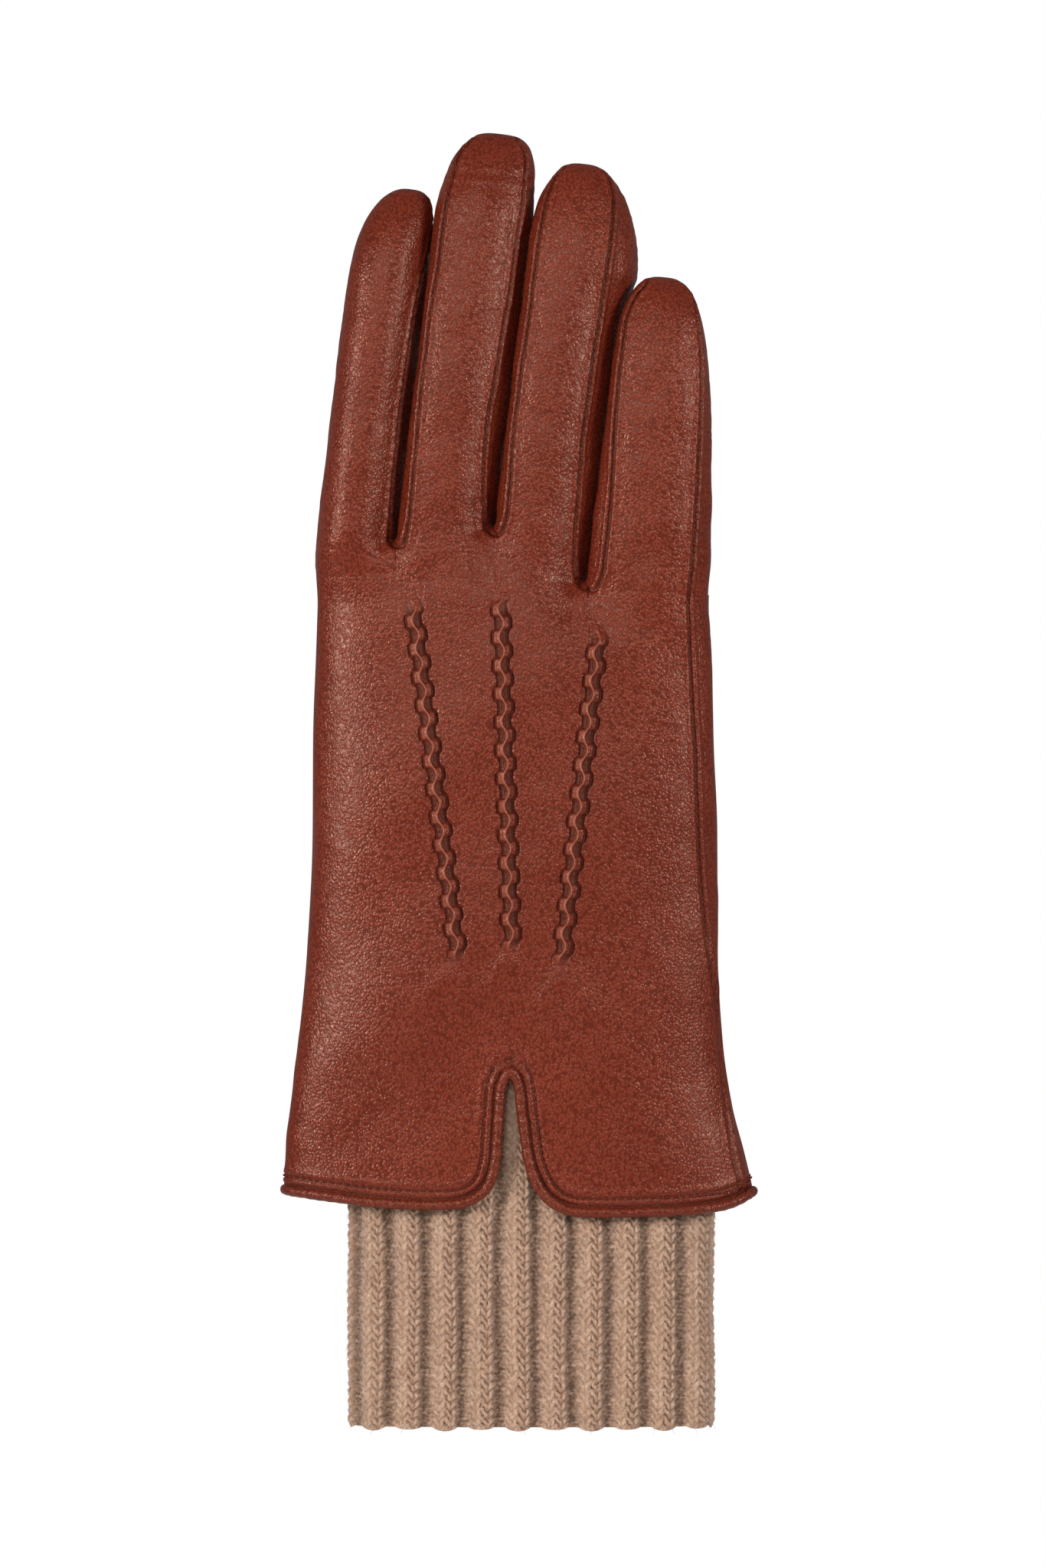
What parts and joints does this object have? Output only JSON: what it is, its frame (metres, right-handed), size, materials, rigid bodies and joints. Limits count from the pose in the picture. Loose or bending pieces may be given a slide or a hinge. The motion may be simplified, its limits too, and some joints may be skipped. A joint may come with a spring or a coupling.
{
  "type": "touchscreen glove",
  "caption": "Right-hand leather glove with stitched points on the back, a rolled hem with a narrow vent, touch pads and a rib-knit wool cuff.",
  "frame": {"origin": "centre of the wrist opening, in the plane of the knit cuff's lower edge", "axes": "+Z from the wrist to the fingertips, the back of the hand faces -Y, the palm and thumb are on the +Y side, the index-finger side is at -X"},
  "size_m": [0.1034, 0.0592, 0.2822],
  "materials": {
    "leather": "soft pebbled grain, satin",
    "fourchette_leather": "soft pebbled grain, satin",
    "binding_leather": "smooth, satin",
    "wool_knit": "heather 2x2 rib knit, matte",
    "knit_lining": "fine knit, matte",
    "touch_leather": "fine conductive leather, matte"
  },
  "bodies": {
    "hand": {"hand_back": "leather", "hand_palm": "leather", "hand_lining": "knit_lining", "knit_cuff": "wool_knit", "hem_binding": "binding_leather", "crotch_index_middle": "fourchette_leather", "crotch_middle_ring": "fourchette_leather", "crotch_ring_little": "fourchette_leather", "point_index": "leather", "point_middle": "leather", "point_ring": "leather", "thumb_root": "leather"},
    "index_base": {"index_base_back": "leather", "index_base_palm": "leather", "index_base_right": "fourchette_leather", "index_base_lining": "knit_lining"},
    "index_tip": {"index_tip_back": "leather", "index_tip_palm": "leather", "index_tip_right": "fourchette_leather", "index_tip_lining": "knit_lining", "index_touch_pad": "touch_leather"},
    "middle_base": {"middle_base_back": "leather", "middle_base_palm": "leather", "middle_base_right": "fourchette_leather", "middle_base_left": "fourchette_leather", "middle_base_lining": "knit_lining"},
    "middle_tip": {"middle_tip_back": "leather", "middle_tip_palm": "leather", "middle_tip_right": "fourchette_leather", "middle_tip_left": "fourchette_leather", "middle_tip_lining": "knit_lining"},
    "ring_base": {"ring_base_back": "leather", "ring_base_palm": "leather", "ring_base_right": "fourchette_leather", "ring_base_left": "fourchette_leather", "ring_base_lining": "knit_lining"},
    "ring_tip": {"ring_tip_back": "leather", "ring_tip_palm": "leather", "ring_tip_right": "fourchette_leather", "ring_tip_left": "fourchette_leather", "ring_tip_lining": "knit_lining"},
    "little_base": {"little_base_back": "leather", "little_base_palm": "leather", "little_base_left": "fourchette_leather", "little_base_lining": "knit_lining"},
    "little_tip": {"little_tip_back": "leather", "little_tip_palm": "leather", "little_tip_left": "fourchette_leather", "little_tip_lining": "knit_lining"},
    "thumb_base": {"thumb_base": "leather", "thumb_base_lining": "knit_lining"},
    "thumb_tip": {"thumb_tip": "leather", "thumb_tip_lining": "knit_lining", "thumb_touch_pad": "touch_leather"}
  },
  "joints": [
    {"name": "index_root_bend", "type": "hinge", "parent": "hand", "child": "index_base", "pos_m": [-0.03663, 0.00004, 0.20535], "axis": [-0.9932, 0, 0.1167], "range_deg": [-10, 75]},
    {"name": "index_mid_bend", "type": "hinge", "parent": "index_base", "child": "index_tip", "pos_m": [-0.03278, 0.00144, 0.23813], "axis": [-0.9932, 0, 0.1167], "range_deg": [-5, 80]},
    {"name": "middle_root_bend", "type": "hinge", "parent": "hand", "child": "middle_base", "pos_m": [-0.01683, 0.00012, 0.20756], "axis": [-0.9932, 0, 0.1167], "range_deg": [-10, 75]},
    {"name": "middle_mid_bend", "type": "hinge", "parent": "middle_base", "child": "middle_tip", "pos_m": [-0.01281, 0.0019, 0.24182], "axis": [-0.9932, 0, 0.1167], "range_deg": [-5, 80]},
    {"name": "ring_root_bend", "type": "hinge", "parent": "hand", "child": "ring_base", "pos_m": [0.00432, 0.00012, 0.20507], "axis": [-0.9932, 0, 0.1167], "range_deg": [-10, 75]},
    {"name": "ring_mid_bend", "type": "hinge", "parent": "ring_base", "child": "ring_tip", "pos_m": [0.00811, 0.00174, 0.23735], "axis": [-0.9932, 0, 0.1167], "range_deg": [-5, 80]},
    {"name": "little_root_bend", "type": "hinge", "parent": "hand", "child": "little_base", "pos_m": [0.02675, 0, 0.19287], "axis": [-0.9932, 0, 0.1167], "range_deg": [-10, 75]},
    {"name": "little_mid_bend", "type": "hinge", "parent": "little_base", "child": "little_tip", "pos_m": [0.02835, 0.00086, 0.22188], "axis": [-0.9932, 0, 0.1167], "range_deg": [-5, 80]},
    {"name": "thumb_root_bend", "type": "hinge", "parent": "hand", "child": "thumb_base", "pos_m": [-0.02246, 0.02804, 0.1219], "axis": [0, 0.9829, -0.1843], "range_deg": [-10, 25]},
    {"name": "thumb_mid_bend", "type": "hinge", "parent": "thumb_base", "child": "thumb_tip", "pos_m": [-0.01865, 0.03185, 0.1422], "axis": [0, 0.9829, -0.1843], "range_deg": [-5, 60]}
  ]
}
